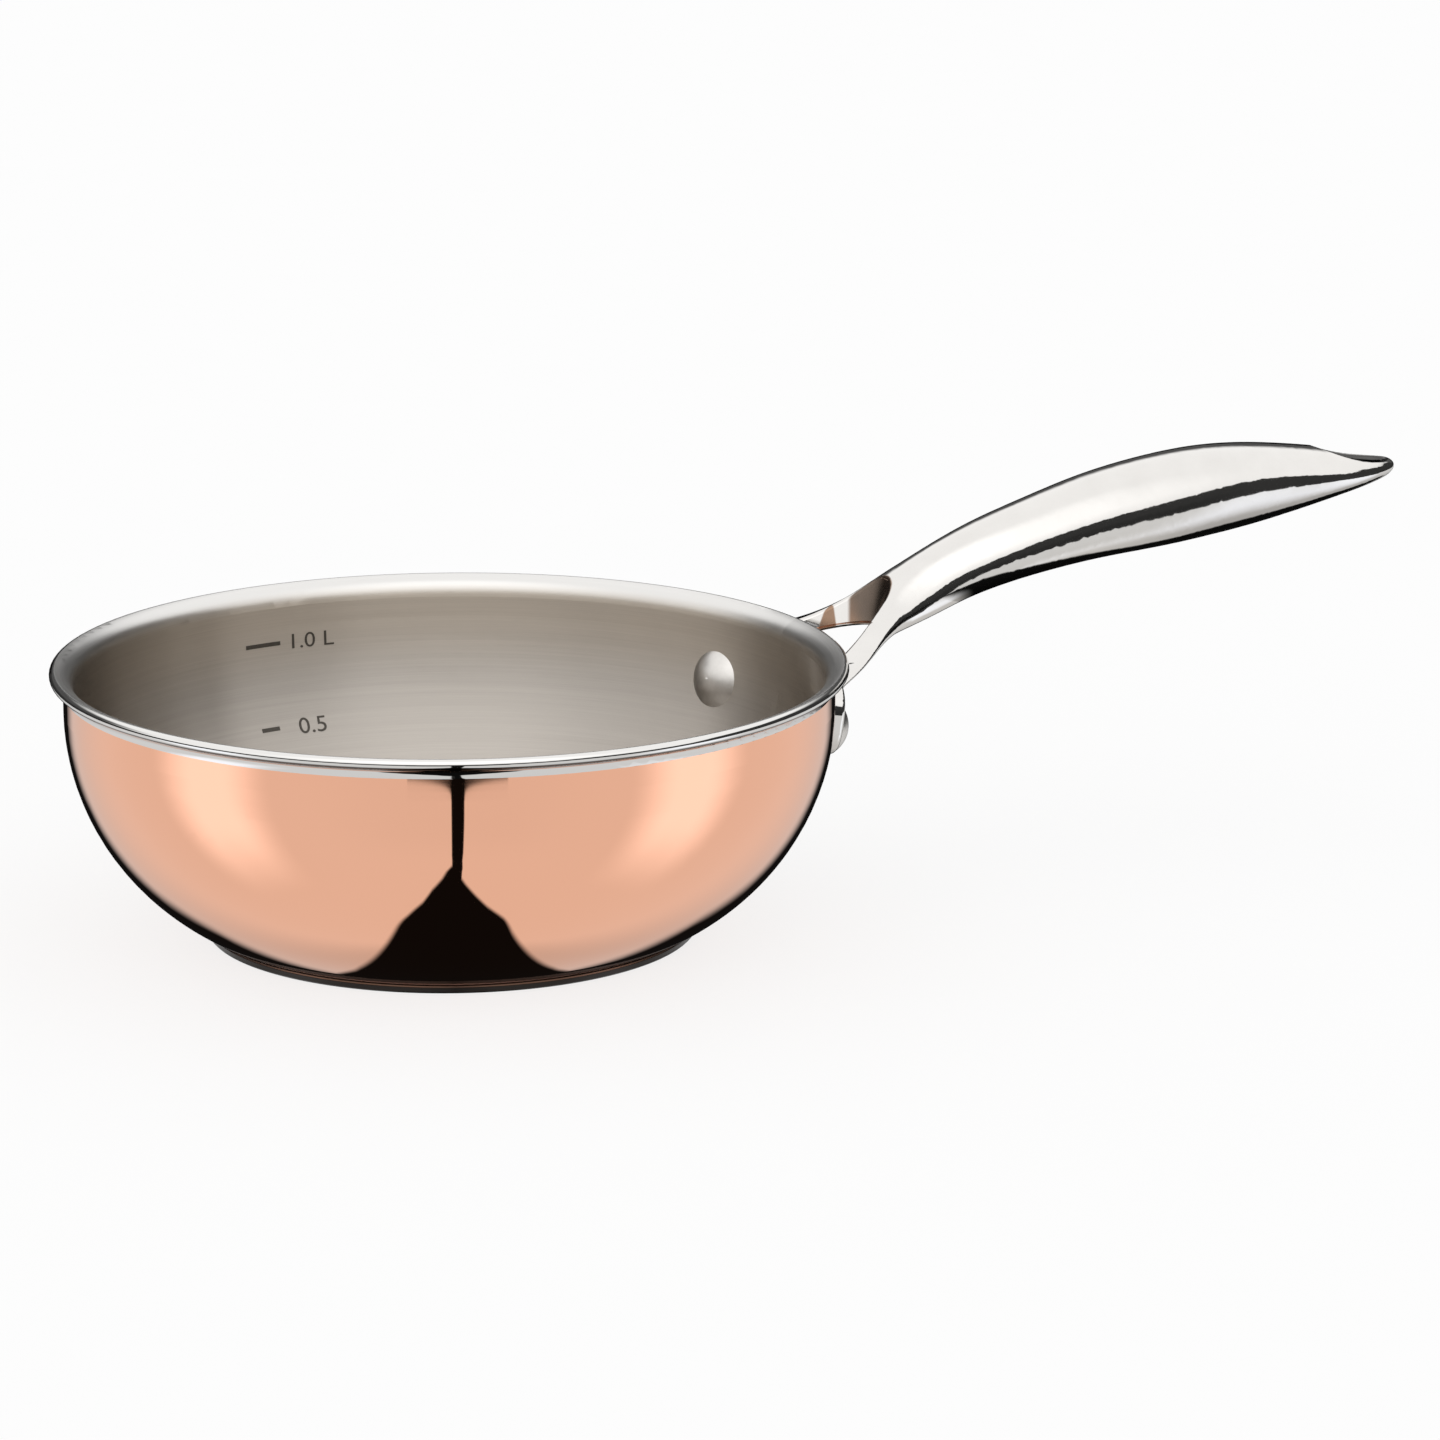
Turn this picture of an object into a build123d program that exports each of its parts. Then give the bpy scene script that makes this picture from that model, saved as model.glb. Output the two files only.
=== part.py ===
from build123d import *
from math import asin, atan2, copysign, cos, degrees, pi, radians, sin, sqrt
import os

# Saucier pan: a bowl of copper, aluminium and steel layers on a steel base disc, with a forked, hollow-cast
# handle held by two rivets. The origin is the centre of the underside, +Z is up and the handle runs
# along +X. Lengths are in millimetres and angles in degrees.

# The bowl's outer surface in profile: a flat floor, one large arc that ends upright, a short upright part,
# and the flared lip
body_diameter = 188.9
floor_diameter = 119.7
rim_height = 67.0
upright_height = 5.16
flare_radius = 5.3
flare_angle = 80

# The layers of the wall, from the outside in
copper_thickness = 0.5
core_thickness = 1.6
lining_thickness = 0.5

# The disc under the bowl
disc_thickness = 1.8
disc_overhang = 0.6
disc_edge_bevel = 0.35

# The rivets, each square to the wall at its place, this far below the rim
rivet_drop = 20.8
rivet_spacing = 55.0
rivet_hole_diameter = 6.4
rivet_clearance = 0.05
inner_head_diameter = 15.3
inner_head_rise = 3.0
outer_head_diameter = 11.4
outer_head_rise = 2.4

# The pads at the ends of the handle's legs
pad_thickness = 3.5
pad_width = 16.8
pad_length = 21.4
pad_draft = 12

# The roots, which swell from each pad up into its leg: the foot on the wall and the crown inside the leg
root_reach = 7.0
root_lean = 8.2
root_foot_rise = 5.0
root_foot_width = 16.0
root_foot_length = 16.0
root_crown_rise = 13.8
root_crown_width = 5.0
root_crown_length = 3.2

# The handle's reach from the wall to the tip, its grip, and how far the grip's axis lies above the rim
handle_length = 178.8
grip_width = 25.5
grip_depth = 23.7
grip_rise = 22.7
casting_wall = 1.8

# The teardrop opening between the legs: its round end, how its sides spread towards the pan, and how they
# close in downwards
crotch_distance = 27.4
crotch_radius = 9.2
opening_spread = 38
opening_draft = 14

# The hanging eye near the tip
eye_length = 21.2
eye_width = 10.6
eye_tip_margin = 3.0

# The roundings at the rims of the opening and of the eye, and at the edges of the pads
opening_rounding = 1.0
eye_rounding = 1.0
pad_rounding = 1.2

# How far cutting tools run past what they cut
overrun = 6.0

body_radius = body_diameter / 2
wall_thickness = copper_thickness + core_thickness + lining_thickness
lip_turn_radius = flare_radius - wall_thickness / 2
flare_centre_r = body_radius - wall_thickness + flare_radius
flare_start = rim_height - lip_turn_radius * sin(radians(flare_angle)) - wall_thickness / 2
equator_height = flare_start - upright_height
belly = body_radius - floor_diameter / 2
arc_rise = equator_height - disc_thickness
wall_arc_radius = (belly**2 + arc_rise**2) / (2 * belly)
arc_centre_r = body_radius - wall_arc_radius
lip_centre = (
    flare_centre_r - lip_turn_radius * cos(radians(flare_angle)),
    flare_start + lip_turn_radius * sin(radians(flare_angle)),
)
rim_radius = lip_centre[0] + wall_thickness / 2


def floor_radius(depth):
    """Radius of the flat floor of the surface that lies this deep inside the copper's outside."""
    drop = arc_rise - depth
    return arc_centre_r + sqrt((wall_arc_radius - depth) ** 2 - drop**2)


def wall_curve(depth):
    """The wall's profile at one depth, from the axis along the floor and up to where the flare starts."""
    floor_z = disc_thickness + depth
    corner = (floor_radius(depth), floor_z)
    start = degrees(atan2(floor_z - equator_height, corner[0] - arc_centre_r))
    side_r = body_radius - depth
    return [
        Line((0, floor_z), corner),
        CenterArc((arc_centre_r, equator_height), wall_arc_radius - depth, start, -start),
        Line((side_r, equator_height), (side_r, flare_start)),
    ]


def flare_curve(depth):
    """The flare's profile at one depth, from its start to the end of its turn."""
    radius = flare_radius - wall_thickness + depth
    return CenterArc((flare_centre_r, flare_start), radius, 180, -flare_angle)


def lip_cap(inset):
    """The half round that closes the lip, this far inside its outer surface."""
    reach = wall_thickness / 2 - inset
    outer_end = flare_curve(inset) @ 1
    inner_end = flare_curve(wall_thickness - inset) @ 1
    direction = (sin(radians(flare_angle)), cos(radians(flare_angle)))
    tip = (lip_centre[0] + reach * direction[0], lip_centre[1] + reach * direction[1])
    return ThreePointArc(outer_end, tip, inner_end)


def turned(curves):
    """The solid that a closed profile of radius and height sweeps round the pan's axis."""
    return revolve(Plane.XZ * make_face(curves), Axis.Z)


def full_section(inset):
    """The whole wall with its lip, this far inside all its surfaces."""
    deep = wall_thickness - inset
    outside = wall_curve(inset) + [flare_curve(inset), lip_cap(inset)]
    inside = wall_curve(deep) + [flare_curve(deep)]
    axis_line = Line((0, disc_thickness + inset), (0, disc_thickness + deep))
    return turned(outside + inside + [axis_line])


def filled_to(depth, top):
    """All the space inside the wall surface at one depth, up to a height, without the flare."""
    curves = wall_curve(depth)
    edge = (body_radius - depth, flare_start)
    closing = Polyline(edge, (edge[0], top), (0, top), (0, disc_thickness + depth))
    return turned(curves + [closing])


def filled_pan():
    """All the space that the bowl and its flare take up or enclose, with room above."""
    top = rim_height + overrun
    curves = wall_curve(0) + [flare_curve(0)]
    lip_foot = flare_curve(0) @ 1
    tip = (rim_radius, lip_centre[1])
    lower_round = RadiusArc(lip_foot, tip, wall_thickness / 2)
    closing = Polyline(tip, (rim_radius, top), (0, top), (0, disc_thickness))
    return turned(curves + [lower_round, closing])


# The rivet axes meet the wall square, so below the equator they pass through the centre of its arc
rivet_height = rim_height - rivet_drop
rivet_below = max(equator_height - rivet_height, 0)
rivet_tilt = degrees(asin(rivet_below / wall_arc_radius))
rivet_radius = arc_centre_r + wall_arc_radius * cos(radians(rivet_tilt))
rivet_turn = degrees(asin(rivet_spacing / 2 / rivet_radius))


def rivet_plane(side, depth):
    """Plane square to one rivet, at a depth inside the copper's outside, looking away from the pan."""
    turn = radians(rivet_turn * side)
    tilt = radians(rivet_tilt)
    outward = Vector(cos(turn) * cos(tilt), sin(turn) * cos(tilt), -sin(tilt))
    sideways = Vector(-sin(turn), cos(turn), 0)
    hub = Vector(arc_centre_r * cos(turn), arc_centre_r * sin(turn), rivet_height + rivet_below)
    return Plane(hub + outward * (wall_arc_radius - depth), x_dir=sideways, z_dir=outward)


def rivet_hole(side):
    """The hole for one rivet, through the wall and its pad."""
    length = wall_thickness + pad_thickness + 2 * overrun
    hole = Cylinder(rivet_hole_diameter / 2, length, align=(Align.CENTER, Align.CENTER, Align.MIN))
    return rivet_plane(side, wall_thickness + overrun) * hole


def dome(side, depth, diameter, rise, facing):
    """The ball whose cap stands out of the surface at this depth, by its rise, over its diameter."""
    ball_radius = ((diameter / 2) ** 2 + rise**2) / (2 * rise)
    centre_depth = depth + facing * (ball_radius - rise)
    return rivet_plane(side, centre_depth) * Sphere(ball_radius)


def rivet(side):
    """One rivet: a large head inside the bowl, the shank, and a smaller head on the pad."""
    room_top = rim_height + overrun
    inner_head = dome(side, wall_thickness, inner_head_diameter, inner_head_rise, -1)
    inner_head &= filled_to(wall_thickness, room_top)
    outer_head = dome(side, -pad_thickness, outer_head_diameter, outer_head_rise, 1)
    outer_head -= filled_to(-pad_thickness, room_top)
    into_inner = inner_head_rise / 2
    length = into_inner + wall_thickness + pad_thickness + outer_head_rise / 2
    radius = rivet_hole_diameter / 2 - rivet_clearance
    shank = Cylinder(radius, length, align=(Align.CENTER, Align.CENTER, Align.MIN))
    shank = rivet_plane(side, wall_thickness + into_inner) * shank
    return inner_head + shank + outer_head


def drilled(solid):
    """A solid with both rivet holes through it."""
    for side in (-1, 1):
        solid -= rivet_hole(side)
    return solid


def pad(side):
    """One foot of the handle: a plate that follows the wall, with drafted edges round the rivet."""
    plate = filled_to(-pad_thickness, rim_height) - filled_to(0, rim_height + overrun)
    outline = Pos(0, (pad_length - pad_width) / 2) * SlotOverall(pad_length, pad_width, rotation=90)
    height = pad_thickness + 2 * overrun
    block = extrude(rivet_plane(side, overrun) * outline, height, taper=pad_draft)
    foot = plate & block
    outside = foot.faces().sort_by_distance(rivet_plane(side, -pad_thickness - overrun).origin)[0]
    return foot.fillet(pad_rounding, outside.edges())


def root(side):
    """The swelling that leads one leg down into its pad."""
    foot = Pos(0, root_foot_rise) * Ellipse(root_foot_width / 2, root_foot_length / 2)
    crown = Pos(-side * root_lean, root_crown_rise) * Ellipse(root_crown_width / 2, root_crown_length / 2)
    swelling = loft([rivet_plane(side, overrun) * foot, rivet_plane(side, -root_reach) * crown])
    return swelling - filled_to(0, rim_height + overrun)


# Stations along the handle, from inside the wall to the tip. Each gives the distance from the wall as a
# share of the length, the height between the fork's seat and the grip, the tilt of the section, the half
# width as shares of the grip's and of the fork's, the half depth as a share of the grip's, and how far the
# section's edges droop as a share of its half depth.
station_shares = [
    (-0.072, -0.200, 0, 0.00, 0.990, 0.300, 0.90),
    (-0.026, -0.090, 0, 0.00, 0.870, 0.250, 0.70),
    (0.030, 0.022, 0, 0.20, 0.660, 0.210, 0.50),
    (0.070, 0.100, 4, 0.40, 0.435, 0.230, 0.42),
    (0.110, 0.203, 10, 0.50, 0.240, 0.325, 0.38),
    (0.153, 0.308, 16, 0.56, 0.105, 0.495, 0.36),
    (0.196, 0.403, 20, 0.64, 0.035, 0.590, 0.34),
    (0.242, 0.507, 20, 0.72, 0.000, 0.640, 0.30),
    (0.310, 0.635, 16, 0.81, 0.000, 0.705, 0.24),
    (0.387, 0.740, 13, 0.88, 0.000, 0.780, 0.20),
    (0.487, 0.850, 8, 0.96, 0.000, 0.895, 0.18),
    (0.584, 0.915, 5, 1.00, 0.000, 0.975, 0.14),
    (0.664, 0.953, 3, 0.98, 0.000, 0.975, 0.07),
    (0.738, 0.972, 1, 0.91, 0.000, 0.900, 0.03),
    (0.812, 0.985, 0, 0.84, 0.000, 0.740, 0.06),
    (0.892, 0.997, 0, 0.76, 0.000, 0.510, 0.12),
    (0.943, 1.000, 0, 0.63, 0.000, 0.345, 0.14),
    (0.969, 1.000, 0, 0.49, 0.000, 0.255, 0.10),
    (0.987, 1.000, 0, 0.31, 0.000, 0.165, 0.05),
]
section_points = 24
section_roundness = 2.2
fork_half_width = rivet_spacing / 2 + pad_width / 2
fork_seat_share = 0.6
fork_seat_height = rivet_height + pad_length * fork_seat_share
grip_axis_height = rim_height + grip_rise


def oval_point(angle, half_width, half_depth, droop):
    """A point of the handle's oval section, with its edges drawn down by the droop."""
    across = copysign(abs(cos(angle)) ** (2 / section_roundness), cos(angle))
    up = copysign(abs(sin(angle)) ** (2 / section_roundness), sin(angle))
    return (half_width * across, half_depth * up - droop * across**2)


def handle_section(station, inset):
    """The handle's section at one station, this far inside its surface."""
    along, rise, tilt, grip_part, fork_part, depth_part, droop_part = station
    x = body_radius + handle_length * along
    z = fork_seat_height + (grip_axis_height - fork_seat_height) * rise
    half_width = grip_width / 2 * grip_part + fork_half_width * fork_part - inset
    half_depth = grip_depth / 2 * depth_part - inset
    droop = (half_depth + inset) * droop_part
    angles = [2 * pi * i / section_points - pi / 2 for i in range(section_points)]
    points = [oval_point(angle, half_width, half_depth, droop) for angle in angles]
    forward = (cos(radians(tilt)), 0, sin(radians(tilt)))
    plane = Plane((x, 0, z), x_dir=(0, 1, 0), z_dir=forward)
    return plane * make_face(Spline(*points, periodic=True))


def fork_opening():
    """The tool for the teardrop opening: a funnel with a round end at the crotch, open to the pan."""
    centre_x = body_radius + crotch_distance - crotch_radius
    spread = radians(opening_spread)
    touch = (centre_x + crotch_radius * sin(spread), crotch_radius * cos(spread))
    run = touch[0] - (rivet_radius - overrun)
    far = (touch[0] - run, touch[1] + run * sin(spread) / cos(spread))
    crotch = (centre_x + crotch_radius, 0)
    outline = make_face([
        ThreePointArc(touch, crotch, (touch[0], -touch[1])),
        Polyline((touch[0], -touch[1]), (far[0], -far[1]), far, touch),
    ])
    top = (grip_axis_height + fork_seat_height) / 2
    level = Plane((0, 0, top), x_dir=(1, 0, 0), z_dir=(0, 0, -1))
    funnel = extrude(level * outline, top - rivet_height, taper=opening_draft)
    above = extrude(Pos(0, 0, top) * outline, grip_depth)
    gap = rivet_spacing - pad_width
    limit = Box(
        2 * (body_radius + crotch_distance),
        gap,
        2 * (grip_axis_height + grip_depth),
    )
    return (funnel + above) & limit


def hanging_eye():
    """The tool for the oval eye near the tip, from top to bottom."""
    x = body_radius + handle_length - eye_tip_margin - eye_length / 2
    outline = Pos(x, 0, grip_axis_height - grip_depth) * Ellipse(eye_length / 2, eye_width / 2)
    return extrude(outline, 2 * grip_depth)


def rounded_cut(body, tool, radius, start):
    """A body with a tool's shape cut out of it, and the rims of the cut rounded from one distance onwards."""
    cut = body - tool
    edges = new_edges(body, tool, combined=cut)
    rims = [edge for edge in edges if edge.length > 2 * radius and edge.center().X > start]
    return cut.fillet(radius, rims)


def handle():
    """The forked casting: lofted outside, hollow grip, opening, pads that follow the wall, and eye."""
    tip = Vertex(body_radius + handle_length, 0, grip_axis_height)
    body = loft([handle_section(station, 0) for station in station_shares] + [tip])
    hollow_stations = station_shares[7:14]
    hollow = loft([handle_section(station, casting_wall) for station in hollow_stations])
    body = rounded_cut(body, fork_opening(), opening_rounding, body_radius + pad_thickness)
    body -= filled_pan()
    body = body + pad(-1) + pad(1) + root(-1) + root(1)
    body = rounded_cut(body, hanging_eye(), eye_rounding, body_radius + crotch_distance)
    return drilled(body) - hollow


def copper_shell():
    """The copper skin, from the floor up to where the flare starts."""
    outside = wall_curve(0)
    inside = wall_curve(copper_thickness)
    top = Line((body_radius, flare_start), (body_radius - copper_thickness, flare_start))
    axis_line = Line((0, disc_thickness), (0, disc_thickness + copper_thickness))
    return drilled(turned(outside + inside + [top, axis_line]))


def aluminium_core():
    """The heat-spreading layer, which runs up into the lip."""
    return drilled(full_section(lining_thickness))


def steel_lining():
    """The inside of the bowl, its lip, and the edge turned down over the core to meet the copper."""
    return drilled(full_section(0)) - copper_shell() - aluminium_core()


def base_disc():
    """The disc that the pan stands on, with its edges broken."""
    disc = Cylinder(
        floor_radius(0) + disc_overhang,
        disc_thickness,
        align=(Align.CENTER, Align.CENTER, Align.MIN),
    )
    return chamfer(disc.edges().filter_by(GeomType.CIRCLE), disc_edge_bevel)


os.makedirs("parts", exist_ok=True)
export_step(copper_shell(), "parts/copper_shell.step")
export_step(aluminium_core(), "parts/aluminium_core.step")
export_step(steel_lining(), "parts/steel_lining.step")
export_step(base_disc(), "parts/base_disc.step")
export_step(handle(), "parts/handle.step")
export_step(rivet(-1), "parts/rivet_right.step")
export_step(rivet(1), "parts/rivet_left.step")
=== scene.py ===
import math

import bmesh
import bpy
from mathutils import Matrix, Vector


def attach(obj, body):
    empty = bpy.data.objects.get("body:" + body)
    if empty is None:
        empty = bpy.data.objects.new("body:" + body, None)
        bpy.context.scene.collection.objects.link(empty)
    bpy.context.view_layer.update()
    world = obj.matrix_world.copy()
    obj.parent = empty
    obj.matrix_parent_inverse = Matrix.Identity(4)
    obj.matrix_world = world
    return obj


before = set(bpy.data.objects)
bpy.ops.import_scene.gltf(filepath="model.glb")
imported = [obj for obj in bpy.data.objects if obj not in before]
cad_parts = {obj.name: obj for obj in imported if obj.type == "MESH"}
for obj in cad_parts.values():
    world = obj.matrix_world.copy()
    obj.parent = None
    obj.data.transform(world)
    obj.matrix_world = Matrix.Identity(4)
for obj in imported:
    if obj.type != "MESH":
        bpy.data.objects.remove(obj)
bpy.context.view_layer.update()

# Where the camera stood, in metres from the middle of the pan's underside, where it aimed, its lens and frame
# in millimetres, the nearest place that it sees, and the turn towards it in radians
camera_place = Vector((-0.68023, -1.44557, 0.45509))
camera_aim = Vector((0.44875, 0.85947, -0.24480))
camera_lens = 167.85
camera_sensor = 36.0
camera_near = 0.05
towards_camera = math.atan2(camera_place.y, camera_place.x)

# The bowl's inside in profile, in metres, which the lining's finish and the litre marks follow
lip_foot_height = 0.0618
equator_height = 0.0566
inside_radius = 0.09185
inside_arc_radius = 0.0581

# Where the lining's finish changes, in metres: each pair is where a change begins and where it is complete.
# The lip's top side is found by its height less its radius
warm_heights = (0.040, 0.060)
polish_heights = (lip_foot_height + 0.0002, lip_foot_height + 0.0040)
outer_face_radii = (inside_radius + 0.0012, inside_radius + 0.0018)
lip_top_drops = (-0.0315, -0.0309)
lip_edge_radii = (0.0964, 0.0970)
# The line of shade painted under the lip's turned-down edge, in metres
shade_heights = (0.0639, 0.0651)
shade_radii = (0.0954, 0.0957)
shade_softness = 0.0002

# Where the base disc's wall is painted in shade, and its turned corner painted lighter as a highlight, in
# metres
disc_wall_shade_radii = (0.0596, 0.0600)
disc_corner_highlight_heights = (0.00152, 0.00176)
disc_corner_highlight_softness = 0.00003

# The handle's opening, hanging eye and grip, in metres, which its finish follows: a painted reflection of the
# copper in the opening, painted shade in the eye and deeper painted shade under the grip. The draft is a
# slope, and the eye's rim is in shares of the eye's size squared
crotch_centre = 0.11265
crotch_radius = 0.0092
crotch_start = (crotch_centre - 0.0008, crotch_centre - 0.0004)
crotch_skin = (0.0002, 0.0006)
opening_level = 0.0743
opening_draft = 0.249
leg_faces = (0.0107, 0.0110)
eye_centre = 0.25965
eye_half_length = 0.0106
eye_half_width = 0.0053
eye_rim_shares = (1.18, 1.32)
grip_start = (0.175, 0.215)

# How far up a face of the handle looks, from -1 to 1, where the shade painted on faces that look down begins
# to fade and where it is gone
underside_shade_facing = (-0.65, 0.10)

# How thick a litre mark is, how far its face stands off the lining, in metres, and the steps in a dash
mark_thickness = 0.00015
mark_stand_off = 0.00009
dash_steps = 8

# The flat figures before they are bent: half their depth, the steps in a curve, and the gap that is merged
figure_half_depth = 0.01
figure_curve_steps = 6
figure_seam = 0.00001

# The litre marks: name, figures or none for a dash, height of its middle in metres, turns round the bowl in
# degrees where it begins and ends, and how tall it is in metres
litre_marks = [
    ("dash_one_litre", None, 0.0525, 99.4, 93.1, 0.00105),
    ("figures_one_litre", "1.0 L", 0.0526, 91.0, 83.8, 0.00385),
    ("dash_half_litre", None, 0.0316, 98.75, 95.3, 0.00095),
    ("figures_half_litre", "0.5", 0.0315, 91.6, 86.6, 0.00375),
]

# The light that metal mirrors, where 1 renders white, and how much of it the dark places take away
table_light = 1.0
card_light = 0.60
card_tint = (0.97, 1.0, 1.06)
front_dimming = 0.03
far_dimming = 0.24
tent_light = 1.42
key_light = 0.45
least_light = 0.006
room_darkness = 0.97
gloom_darkness = 0.93

# Where the studio's places lie, in degrees. Bearings are turned from the camera towards the picture's right,
# azimuths are bearings without their sign, and elevations are above the horizon. A pair is a soft edge, from
# where it begins to where it ends, and a band is its start, its end and its softness
horizon = (-4.0, 4.0)
card_near_azimuths = (54.0, 72.0)
card_far_azimuths = (82.0, 100.0)
card_elevations = (-58.0, -28.0)
front_azimuths = (12.0, 46.0)
front_elevations = (-46.0, -28.0)
far_azimuths = (120.0, 160.0)
key_azimuths = (18.0, 78.0)
key_band = (24.0, 75.0, 12.0)
back_azimuths = (150.0, 163.0)
back_band = (-40.0, 12.0, 5.0)
gloom_azimuths = (90.0, 120.0)
gloom_band = (0.0, 27.0, 7.0)

# The dark room round the horizon, in degrees, and the steps in its top: the bearings and the rise of each
room_foot = -10.5
room_top = 8.5
room_steps = [((26.0, 42.0), 6.5), ((70.0, 88.0), 12.0), ((120.0, 145.0), -18.5)]
room_softness = 0.6

# The camera's stand, in degrees, with the head that widens just under its top
stand_bearing = 1.9
stand_half_width = 1.9
stand_band = (-56.0, -10.0, 0.8)
stand_softness = 0.2
head_foot = -14.92
head_rise = 0.25
head_limit = 1.05
head_power = 6
head_half_width = 9.5

# The dark cloth on the table, in shares of how high above the table the mirroring face is: it begins at its
# tip, on the camera's side, widens steadily to its full width, and spreads again far behind the pan
cloth_tip = 0.95
cloth_taper = 0.23
cloth_half_width = 0.178
cloth_corner = 0.03
cloth_spread_start = -0.75
cloth_spread = 0.45
cloth_softness = 0.012

# How far down a direction points, from 0 to -1, where the cloth fades towards the horizon, and the least
# depth that the cloth's shares are worked out from
cloth_fade = (-0.2, -0.1)
least_depth = 0.02

# The dark card under the handle, in metres: it falls along its length, away from the pan, and its near side
# slants from a place beside the pan to its limit under the handle. The slant is a slope
flag_middle = Vector((0.265, 0.010, 0.0356))
flag_length = 0.27
flag_width = 0.10
flag_fall = 0.0702
flag_start = (0.132, 0.146)
flag_slant = 0.45
flag_slant_x = 0.14
flag_slant_y = -0.037
flag_slant_limit = -0.007
flag_softness = 0.003

# The floor, in metres, and the share of plain white in what the camera sees of it
floor_radius = 4.0
floor_corners = 96
floor_whiteness = 0.80


class Field:
    """A shader value that plain arithmetic works on."""

    def __init__(self, nodes, socket):
        self.nodes = nodes
        self.socket = socket

    def __add__(self, other):
        return self.nodes.maths("ADD", self, other)

    def __radd__(self, other):
        return self.nodes.maths("ADD", other, self)

    def __sub__(self, other):
        return self.nodes.maths("SUBTRACT", self, other)

    def __rsub__(self, other):
        return self.nodes.maths("SUBTRACT", other, self)

    def __mul__(self, other):
        return self.nodes.maths("MULTIPLY", self, other)

    def __rmul__(self, other):
        return self.nodes.maths("MULTIPLY", other, self)

    def __truediv__(self, other):
        return self.nodes.maths("DIVIDE", self, other)

    def __pow__(self, other):
        return self.nodes.maths("POWER", self, other)

    def __abs__(self):
        return self.nodes.maths("ABSOLUTE", self)


class Nodes:
    """The node tree of a finish or of the studio, with short ways to add to it."""

    def __init__(self, tree):
        self.tree = tree

    def add(self, kind, settings=None, inputs=None):
        """A node of one type, with its settings made first and then its sockets filled or linked."""
        node = self.tree.nodes.new(kind)
        for name, value in (settings or {}).items():
            setattr(node, name, value)
        for name, value in (inputs or {}).items():
            self.fill(node.inputs[name], value)
        return node

    def fill(self, socket, value):
        """Links a field or a socket, or sets a plain value."""
        if isinstance(value, Field):
            self.tree.links.new(value.socket, socket)
        elif isinstance(value, bpy.types.NodeSocket):
            self.tree.links.new(value, socket)
        else:
            socket.default_value = value

    def maths(self, operation, *values):
        """One Math node."""
        node = self.add("ShaderNodeMath", {"operation": operation}, dict(enumerate(values)))
        return Field(self, node.outputs[0])

    def larger(self, first, second):
        """The larger of two fields at each point."""
        return self.maths("MAXIMUM", first, second)

    def smaller(self, first, second):
        """The smaller of two fields at each point."""
        return self.maths("MINIMUM", first, second)

    def between(self, value, low, high, bottom=0.0, top=1.0):
        """A smooth step from one value to another as the field passes from low to high."""
        inputs = {"Value": value, "From Min": low, "From Max": high, "To Min": bottom, "To Max": top}
        node = self.add("ShaderNodeMapRange", {"interpolation_type": "SMOOTHSTEP"}, inputs)
        return Field(self, node.outputs["Result"])

    def below(self, value, low, high):
        """1 where the field is under low and 0 where it is over high, with a smooth step between."""
        return self.between(value, low, high, 1.0, 0.0)

    def band(self, value, start, end, soft):
        """1 inside a range and 0 outside it, with soft edges."""
        return self.between(value, start - soft, start + soft) * self.below(value, end - soft, end + soft)

    def apart(self, vector):
        """The three parts of a vector."""
        node = self.add("ShaderNodeSeparateXYZ", None, {0: vector})
        return [Field(self, output) for output in node.outputs]

    def together(self, x, y, z):
        """A vector from three fields."""
        return self.add("ShaderNodeCombineXYZ", None, {0: x, 1: y, 2: z}).outputs[0]

    def noise(self, vector, scale, detail=2.0, roughness=0.5):
        """A cloudy field between 0 and 1."""
        inputs = {"Vector": vector, "Scale": scale, "Detail": detail, "Roughness": roughness}
        return Field(self, self.add("ShaderNodeTexNoise", None, inputs).outputs[0])

    def blend(self, mask, first, second):
        """One colour passing into another where the mask is 1."""
        node = self.add("ShaderNodeMix", {"data_type": "RGBA"}, {0: mask, 6: first, 7: second})
        return node.outputs[2]

    def layered(self, mask, first, second):
        """One surface passing into another where the mask is 1."""
        surfaces = {0: mask, 1: first.outputs[0], 2: second.outputs[0]}
        return self.add("ShaderNodeMixShader", None, surfaces).outputs[0]


def colour(red, green, blue):
    """An opaque colour, as sockets take it."""
    return (red, green, blue, 1.0)


class Finish(Nodes):
    """The procedural material of one part of the pan."""

    def __init__(self, name):
        self.material = bpy.data.materials.new(name)
        self.material.use_nodes = True
        super().__init__(self.material.node_tree)
        self.shader = self.tree.nodes["Principled BSDF"]
        coordinates = self.add("ShaderNodeTexCoord").outputs
        self.place = coordinates["Object"]
        self.facing = coordinates["Normal"]
        self.x, self.y, self.z = self.apart(self.place)
        self.radius = (self.x * self.x + self.y * self.y) ** 0.5
        self.angle = self.maths("ARCTAN2", self.y, self.x)

    def set(self, **values):
        """Fills the shader's sockets, by their names with underscores for spaces."""
        for name, value in values.items():
            self.fill(self.shader.inputs[name.replace("_", " ").title()], value)

    def turned_lines(self, per_metre, wander=0.6):
        """Fine lines round the pan's axis, as a turning tool or a polishing wheel leaves them."""
        across = self.together(self.radius * per_metre, self.z * per_metre, self.angle * wander)
        return self.noise(across, scale=1.0, detail=3.0, roughness=0.65)

    def relief(self, height, distance, strength):
        """Sends a height field to the shader's normal."""
        inputs = {"Strength": strength, "Distance": distance, "Height": height}
        self.fill(self.shader.inputs["Normal"], self.add("ShaderNodeBump", None, inputs).outputs["Normal"])


def polished_copper():
    """Mirror-polished copper with the faint rings and clouding of the polishing wheel."""
    finish = Finish("polished_copper")
    rings = finish.turned_lines(per_metre=900.0)
    cloud = finish.noise(finish.place, scale=14.0, detail=3.0)
    finish.set(
        base_color=finish.blend(cloud, colour(0.765, 0.405, 0.268), colour(0.785, 0.425, 0.288)),
        metallic=1.0,
        roughness=0.008 + rings * 0.012 + cloud * 0.008,
    )
    finish.relief(cloud, distance=0.00005, strength=0.10)
    return finish.material


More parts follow.
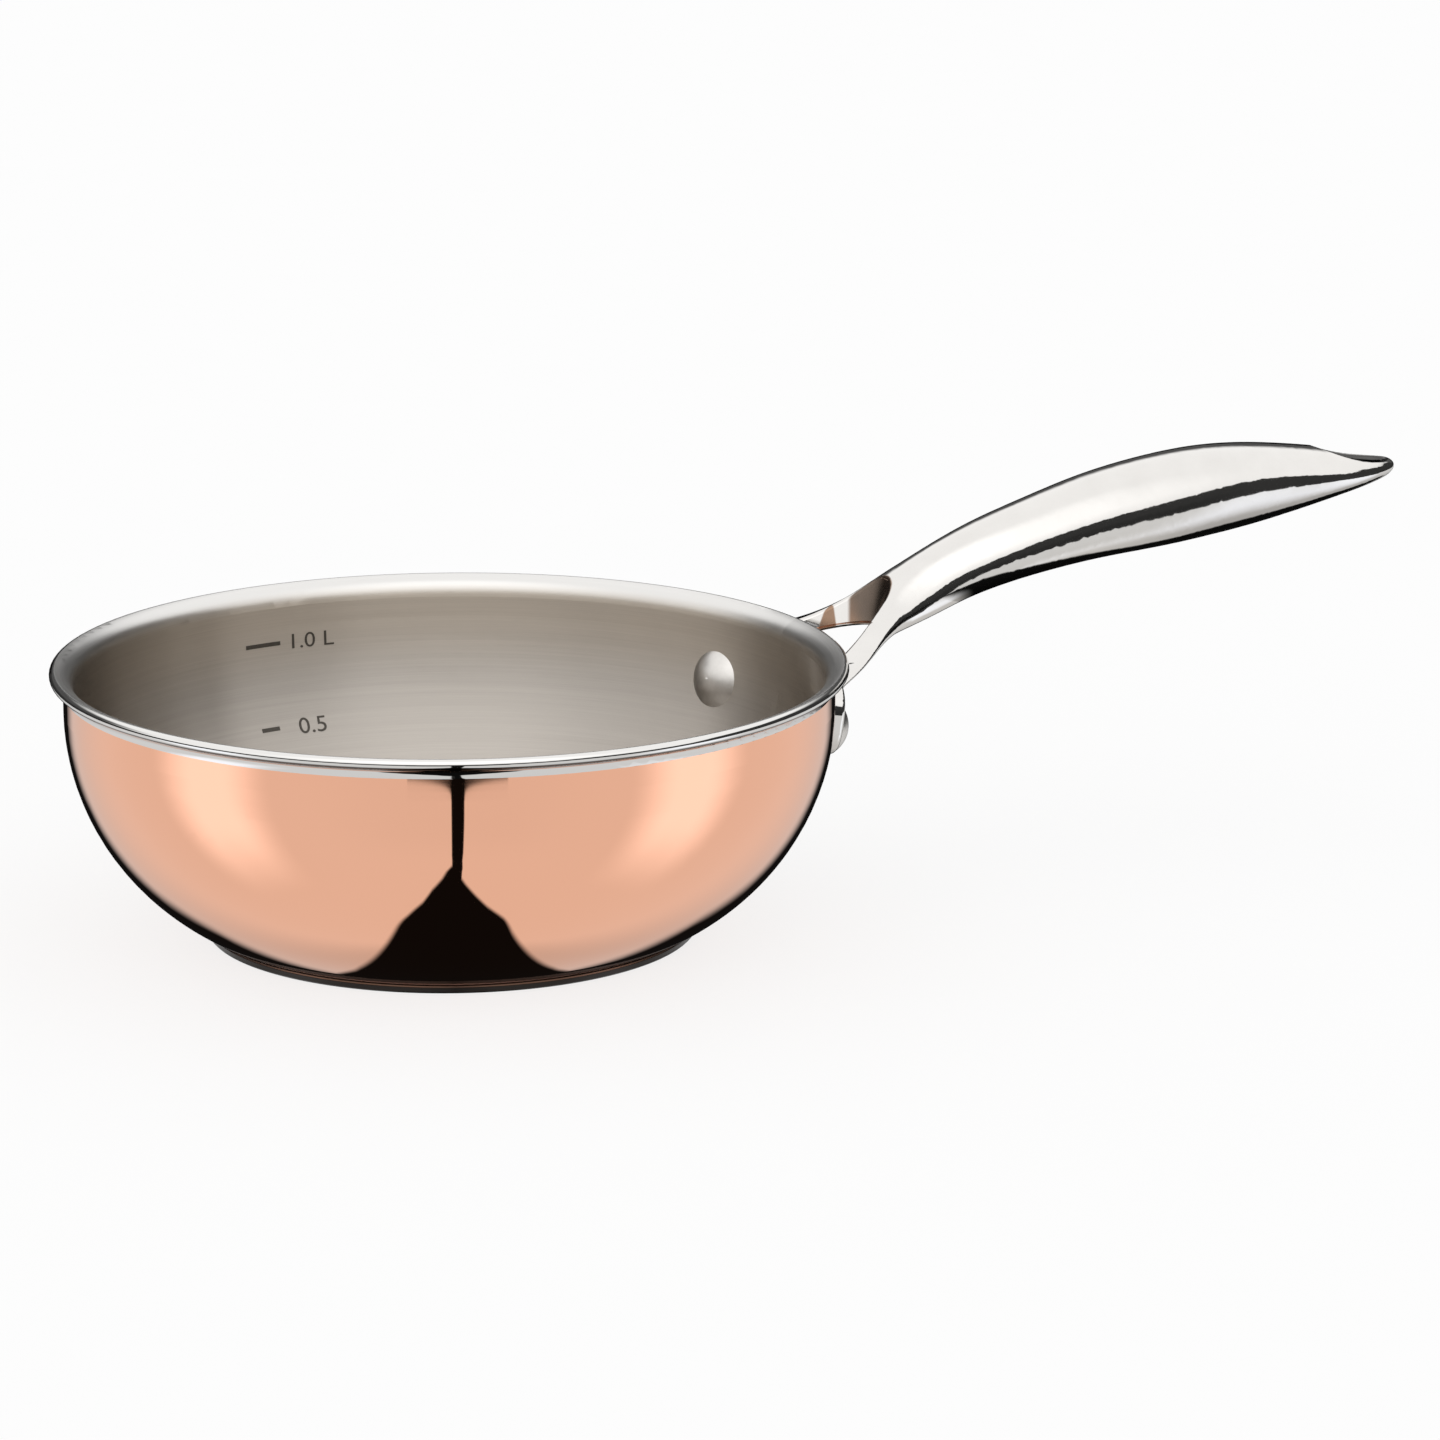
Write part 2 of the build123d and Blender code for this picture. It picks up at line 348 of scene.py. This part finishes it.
def brushed_lining():
    """Steel brushed in fine rings inside the bowl, warmer towards the rim, and polished on its lip."""
    finish = Finish("brushed_lining")
    fine = finish.turned_lines(per_metre=5200.0, wander=2.0)
    broad = finish.turned_lines(per_metre=900.0, wander=0.5)
    streaks = fine * 0.6 + broad * 0.4
    lower = finish.blend(streaks, colour(0.320, 0.293, 0.264), colour(0.495, 0.458, 0.418))
    upper = finish.blend(streaks, colour(0.415, 0.368, 0.314), colour(0.620, 0.555, 0.478))
    finish.set(
        base_color=finish.blend(finish.between(finish.z, *warm_heights), lower, upper),
        metallic=1.0,
        roughness=0.29 + fine * 0.08,
        anisotropic=1.0,
        anisotropic_rotation=0.25,
    )
    finish.relief(fine, distance=0.00004, strength=0.30)
    # The lip's top side keeps some of the brushing, and a line of shade is painted dark under its turned-down
    # edge
    top_side = finish.between(finish.z - finish.radius, *lip_top_drops)
    top_side = top_side * finish.below(finish.radius, *lip_edge_radii)
    shade = finish.band(finish.z, *shade_heights, shade_softness)
    shade = shade * finish.between(finish.radius, *shade_radii)
    steel = finish.blend(broad, colour(0.57, 0.56, 0.545), colour(0.63, 0.62, 0.605))
    polish = finish.add("ShaderNodeBsdfPrincipled", None, {
        "Base Color": finish.blend(shade * 0.93, steel, colour(0.02, 0.018, 0.016)),
        "Metallic": 1.0,
        "Roughness": 0.02 + fine * 0.02 + top_side * (0.22 + broad * 0.10),
    })
    lip = finish.between(finish.z, *polish_heights)
    outer_face = finish.between(finish.radius, *outer_face_radii)
    surface = finish.layered(finish.larger(lip, outer_face), finish.shader, polish)
    finish.fill(finish.tree.nodes["Material Output"].inputs["Surface"], surface)
    return finish.material


def opening_reflection_faces(finish):
    """The faces inside the teardrop opening between the handle's legs, which narrows downwards."""
    beyond = finish.larger(finish.x - crotch_centre, 0.0)
    from_centre = (beyond * beyond + finish.y * finish.y) ** 0.5
    narrowing = finish.larger(opening_level - finish.z, 0.0) * opening_draft
    crotch = finish.below(from_centre - crotch_radius + narrowing, *crotch_skin)
    crotch = crotch * finish.between(finish.x, *crotch_start)
    legs = finish.below(abs(finish.y), *leg_faces) * finish.below(finish.x, *crotch_start)
    return finish.larger(crotch, legs)


def eye_shade_faces(finish):
    """The faces inside the oval hanging eye, with part of its rounded rim."""
    along = (finish.x - eye_centre) / eye_half_length
    across = finish.y / eye_half_width
    return finish.below(along * along + across * across, *eye_rim_shares)


def cast_handle():
    """Mirror-polished cast steel, with the slight waves of hand polishing, and painted shade on faces looking
    down, most of all under the grip. The opening's faces carry a painted reflection of the copper in patches,
    and the eye's faces are painted dark as shade."""
    finish = Finish("cast_handle")
    waves = finish.noise(finish.place, scale=45.0)
    haze = finish.noise(finish.place, scale=160.0, detail=3.0)
    opening = opening_reflection_faces(finish)
    steel = finish.blend(haze, colour(0.570, 0.555, 0.535), colour(0.620, 0.605, 0.585))
    # Faces that look down are painted darker as shade, most of all under the grip
    grip_shade_share = finish.between(finish.x, *grip_start)
    underside_shade = finish.blend(grip_shade_share, colour(0.49, 0.465, 0.435), colour(0.33, 0.312, 0.295))
    facing_up = finish.apart(finish.facing)[2]
    steel = finish.blend(finish.below(facing_up, *underside_shade_facing), steel, underside_shade)
    # The opening's faces are painted in patches with a reflection of the copper bowl
    patches = finish.between(waves, 0.40, 0.60)
    copper = finish.blend(patches, colour(0.11, 0.08, 0.060), colour(0.25, 0.15, 0.095))
    steel = finish.blend(opening * 0.95, steel, copper)
    # The eye's faces are painted near black as shade
    finish.set(
        base_color=finish.blend(eye_shade_faces(finish) * 0.92, steel, colour(0.02, 0.02, 0.02)),
        metallic=1.0,
        roughness=0.045 + haze * 0.04 + opening * 0.16,
    )
    finish.relief(waves, distance=0.0002, strength=0.04)
    return finish.material


def rivet_steel():
    """The rivets' steel, with the fine grain that struck heads keep."""
    finish = Finish("rivet_steel")
    grain = finish.noise(finish.place, scale=900.0)
    finish.set(
        base_color=finish.blend(grain, colour(0.53, 0.51, 0.485), colour(0.63, 0.61, 0.585)),
        metallic=1.0,
        roughness=0.32 + grain * 0.10,
    )
    finish.relief(grain, distance=0.00005, strength=0.2)
    return finish.material


def turned_disc():
    """The base disc's satin steel, with rings from turning. Its wall is painted dark as shade, under a corner
    painted lighter as a highlight.
    """
    finish = Finish("turned_disc")
    rings = finish.turned_lines(per_metre=1800.0)
    satin = finish.blend(rings, colour(0.36, 0.35, 0.34), colour(0.50, 0.49, 0.48))
    # The wall is painted dark as shade, and the turned corner above it painted lighter as a highlight
    wall = finish.between(finish.radius, *disc_wall_shade_radii)
    corner = finish.band(finish.z, *disc_corner_highlight_heights, disc_corner_highlight_softness)
    finish.set(
        base_color=finish.blend(wall * (1.0 - corner * 0.5), satin, colour(0.035, 0.030, 0.027)),
        metallic=1.0,
        roughness=0.22 + rings * 0.12,
        anisotropic=0.6,
        anisotropic_rotation=0.25,
    )
    finish.relief(rings, distance=0.00004, strength=0.3)
    return finish.material


def core_metal():
    """The aluminium between the skins, which shows nowhere."""
    finish = Finish("core_metal")
    grain = finish.noise(finish.place, scale=400.0)
    finish.set(
        base_color=finish.blend(grain, colour(0.74, 0.75, 0.76), colour(0.82, 0.83, 0.84)),
        metallic=1.0,
        roughness=0.3 + grain * 0.1,
    )
    return finish.material


def etched_ink():
    """The dark grey of the marks, a little uneven as etching is."""
    finish = Finish("etched_ink")
    grain = finish.noise(finish.place, scale=2600.0)
    finish.set(
        base_color=finish.blend(grain, colour(0.045, 0.038, 0.030), colour(0.085, 0.075, 0.062)),
        metallic=0.4,
        roughness=0.42 + grain * 0.15,
    )
    return finish.material


def coat(node, material):
    """Gives a node of the frame its finish."""
    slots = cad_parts[node].data.materials
    slots.clear()
    slots.append(material)


class Studio(Nodes):
    """The studio round the pan, as fields over the direction that a ray leaves in."""

    def __init__(self, tree):
        super().__init__(tree)
        tree.nodes.clear()
        x, y, self.z = self.apart(self.add("ShaderNodeTexCoord").outputs["Generated"])
        self.fore = x * math.cos(towards_camera) + y * math.sin(towards_camera)
        self.side = y * math.cos(towards_camera) - x * math.sin(towards_camera)
        self.bearing = self.maths("ARCTAN2", self.side, self.fore) * (180 / math.pi)
        self.azimuth = abs(self.bearing)
        self.elevation = self.maths("ARCSINE", self.z) * (180 / math.pi)

    def cards(self):
        """Two soft bright cards on the table, left and right."""
        card = self.between(self.azimuth, *card_near_azimuths) * self.below(self.azimuth, *card_far_azimuths)
        return card * self.between(self.elevation, *card_elevations)

    def table(self, cards):
        """The white table, brighter on the cards, and dimmer in front of the pan and far behind it."""
        front = self.below(self.azimuth, *front_azimuths) * self.between(self.elevation, *front_elevations)
        far = self.between(self.azimuth, *far_azimuths)
        return table_light + cards * card_light - front * front_dimming - far * far_dimming

    def tent(self):
        """The white tent over the table, with the key light over the camera."""
        key = self.below(self.azimuth, *key_azimuths) * self.band(self.elevation, *key_band)
        return tent_light + key * key_light

    def room(self):
        """The dark room between the table and the tent, which stands higher to the right of the pan."""
        top = room_top
        for bearings, rise in room_steps:
            top = top + self.between(self.bearing, *bearings) * rise
        return self.band(self.elevation, room_foot, top, room_softness)

    def back(self):
        """The dark end of the table behind the pan."""
        return self.between(self.azimuth, *back_azimuths) * self.band(self.elevation, *back_band)

    def gloom(self):
        """The dim lower part of the tent behind the pan."""
        return self.between(self.azimuth, *gloom_azimuths) * self.band(self.elevation, *gloom_band)

    def stand(self):
        """The camera on its stand."""
        spread = self.smaller(self.larger(self.elevation - head_foot, 0.0) / head_rise, head_limit)
        half_width = stand_half_width + spread ** head_power * head_half_width
        beside = abs(self.bearing - stand_bearing) - half_width
        stand = self.below(beside, -stand_softness, stand_softness)
        return stand * self.band(self.elevation, *stand_band)

    def cloth(self):
        """The dark cloth on the table, from the foot of the stand to far behind the pan."""
        depth = self.larger(self.z * -1.0, least_depth)
        reach = self.fore / depth
        across = abs(self.side / depth)
        taper = (cloth_tip - reach) * cloth_taper
        half_width = self.maths("SMOOTH_MIN", taper, cloth_half_width, cloth_corner)
        half_width = self.larger(half_width, (cloth_spread_start - reach) * cloth_spread)
        cloth = self.below(across - half_width, -cloth_softness, cloth_softness)
        return cloth * self.below(self.z, *cloth_fade)


def studio_world():
    """White for the camera, plain light for dull surfaces, and the studio's light and shade for metal."""
    world = bpy.data.worlds.new("studio")
    world.use_nodes = True
    studio = Studio(world.node_tree)
    cards = studio.cards()
    above = studio.between(studio.elevation, *horizon)
    open_light = studio.table(cards) * (1.0 - above) + studio.tent() * above
    dark = studio.cloth()
    shades = (studio.room() * room_darkness, studio.back(), studio.gloom() * gloom_darkness, studio.stand())
    for shade in shades:
        dark = studio.larger(dark, shade)
    shine = open_light * (1.0 - dark) + least_light
    rays = studio.add("ShaderNodeLightPath").outputs
    camera_ray = Field(studio, rays["Is Camera Ray"])
    glossy_ray = Field(studio, rays["Is Glossy Ray"])
    strength = camera_ray + (1.0 - camera_ray) * (glossy_ray * shine + (1.0 - glossy_ray))
    cool = cards * (1.0 - above) * (1.0 - dark) * glossy_ray
    tint = studio.blend(cool, colour(1.0, 1.0, 1.0), colour(*card_tint))
    background = studio.add("ShaderNodeBackground", None, {"Color": tint, "Strength": strength})
    studio.add("ShaderNodeOutputWorld", None, {"Surface": background.outputs[0]})
    bpy.context.scene.world = world


def placed(name, shape, material):
    """An object in the scene, made from a finished shape."""
    mesh = bpy.data.meshes.new(name)
    shape.to_mesh(mesh)
    shape.free()
    mesh.materials.append(material)
    thing = bpy.data.objects.new(name, mesh)
    bpy.context.scene.collection.objects.link(thing)
    return thing


def inside_place(turn, height, depth):
    """A point near the bowl's inner surface, from its turn round the axis, height and depth in the wall."""
    drop = max(equator_height - height, 0.0)
    reach = inside_radius - inside_arc_radius + math.sqrt(inside_arc_radius ** 2 - drop ** 2)
    radius = reach + depth
    return (radius * math.cos(turn), radius * math.sin(turn), height)


def printed_mark(name, shape, ink, height, start, end, tall):
    """A flat shape bent onto the bowl's inner surface between two turns, as tall as given."""
    left = min(vertex.co.x for vertex in shape.verts)
    right = max(vertex.co.x for vertex in shape.verts)
    low = min(vertex.co.y for vertex in shape.verts)
    high = max(vertex.co.y for vertex in shape.verts)
    for vertex in shape.verts:
        turn = math.radians(start + (end - start) * (vertex.co.x - left) / (right - left))
        level = height + tall * ((vertex.co.y - low) / (high - low) - 0.5)
        depth = mark_thickness - mark_stand_off if vertex.co.z < 0 else -mark_stand_off
        vertex.co = inside_place(turn, level, depth)
    bmesh.ops.recalc_face_normals(shape, faces=shape.faces)
    mark = placed(name, shape, ink)
    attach(mark, "root")


def figures(words):
    """Figures as a thin solid, lying flat."""
    curve = bpy.data.curves.new("figures", "FONT")
    curve.body = words
    curve.extrude = figure_half_depth
    curve.resolution_u = figure_curve_steps
    writing = bpy.data.objects.new("figures", curve)
    bpy.context.scene.collection.objects.link(writing)
    mesh = bpy.data.meshes.new_from_object(writing)
    shape = bmesh.new()
    shape.from_mesh(mesh)
    bpy.data.objects.remove(writing)
    bpy.data.curves.remove(curve)
    bpy.data.meshes.remove(mesh)
    bmesh.ops.remove_doubles(shape, verts=shape.verts, dist=figure_seam)
    return shape


def dash():
    """A dash as a thin solid, lying flat, in enough steps to bend round the bowl."""
    shape = bmesh.new()
    bmesh.ops.create_cube(shape, size=1.0)
    for step in range(1, dash_steps):
        whole = shape.verts[:] + shape.edges[:] + shape.faces[:]
        cut = (step / dash_steps - 0.5, 0.0, 0.0)
        bmesh.ops.bisect_plane(shape, geom=whole, plane_co=cut, plane_no=(1.0, 0.0, 0.0))
    return shape


def pale_floor():
    """A plain white floor that keeps a soft shadow, and that metal doesn't mirror."""
    bpy.ops.mesh.primitive_circle_add(
        vertices=floor_corners, radius=floor_radius, fill_type="NGON", location=(0.0, 0.0, 0.0)
    )
    floor = bpy.context.object
    floor.name = "floor"
    material = bpy.data.materials.new("floor_paper")
    material.use_nodes = True
    paper = Nodes(material.node_tree)
    paper.tree.nodes.clear()
    grain = paper.noise(paper.add("ShaderNodeTexCoord").outputs["Object"], scale=30.0)
    grey = paper.blend(grain, colour(0.90, 0.90, 0.90), colour(0.92, 0.92, 0.92))
    dull = paper.add("ShaderNodeBsdfDiffuse", None, {"Color": grey})
    white = paper.add("ShaderNodeEmission", None, {"Strength": 1.0})
    camera_ray = Field(paper, paper.add("ShaderNodeLightPath").outputs["Is Camera Ray"])
    surface = paper.layered(camera_ray * floor_whiteness, dull, white)
    paper.add("ShaderNodeOutputMaterial", None, {"Surface": surface})
    floor.data.materials.append(material)
    floor.visible_glossy = False


def flag_cloth():
    """Black cloth with soft edges at the card's start and along its slanting near side."""
    material = bpy.data.materials.new("flag_cloth")
    material.use_nodes = True
    cloth = Nodes(material.node_tree)
    cloth.tree.nodes.clear()
    x, y = cloth.apart(cloth.add("ShaderNodeTexCoord").outputs["Object"])[:2]
    near_side = cloth.smaller((x - flag_slant_x) * flag_slant + flag_slant_y, flag_slant_limit)
    covered = cloth.between(y - near_side, -flag_softness, flag_softness) * cloth.between(x, *flag_start)
    black = cloth.add("ShaderNodeBsdfDiffuse", None, {"Color": colour(0.008, 0.008, 0.008)})
    clear = cloth.add("ShaderNodeBsdfTransparent")
    surface = cloth.layered(covered, clear, black)
    cloth.add("ShaderNodeOutputMaterial", None, {"Surface": surface})
    return material


def dark_flag():
    """A dark card under the handle, which only reflections show. It slopes as the rays that the bowl mirrors
    do, so the handle mirrors its face, and the bowl no more than its edge."""
    shape = bmesh.new()
    bmesh.ops.create_grid(shape, x_segments=1, y_segments=1, size=0.5)
    for vertex in shape.verts:
        along, across = vertex.co.x, vertex.co.y
        vertex.co = flag_middle + Vector((along * flag_length, across * flag_width, -along * flag_fall))
    flag = placed("dark_flag", shape, flag_cloth())
    flag.visible_camera = False
    flag.visible_diffuse = False
    flag.visible_shadow = False
    flag.visible_transmission = False
    flag.visible_volume_scatter = False


def photographer():
    """The camera, at the photograph's place and viewing angle."""
    data = bpy.data.cameras.new("camera")
    data.lens = camera_lens
    data.sensor_width = camera_sensor
    data.clip_start = camera_near
    camera = bpy.data.objects.new("camera", data)
    camera.location = camera_place
    camera.rotation_euler = camera_aim.to_track_quat("-Z", "Y").to_euler()
    bpy.context.scene.collection.objects.link(camera)
    bpy.context.scene.camera = camera


photographer()
studio_world()
pale_floor()
dark_flag()
coat("copper_shell", polished_copper())
coat("steel_lining", brushed_lining())
coat("aluminium_core", core_metal())
coat("base_disc", turned_disc())
coat("handle", cast_handle())
rivets = rivet_steel()
coat("rivet_left", rivets)
coat("rivet_right", rivets)
mark_ink = etched_ink()
for name, words, height, start, end, tall in litre_marks:
    printed_mark(name, figures(words) if words else dash(), mark_ink, height, start, end, tall)
bpy.context.scene.view_settings.view_transform = "Standard"
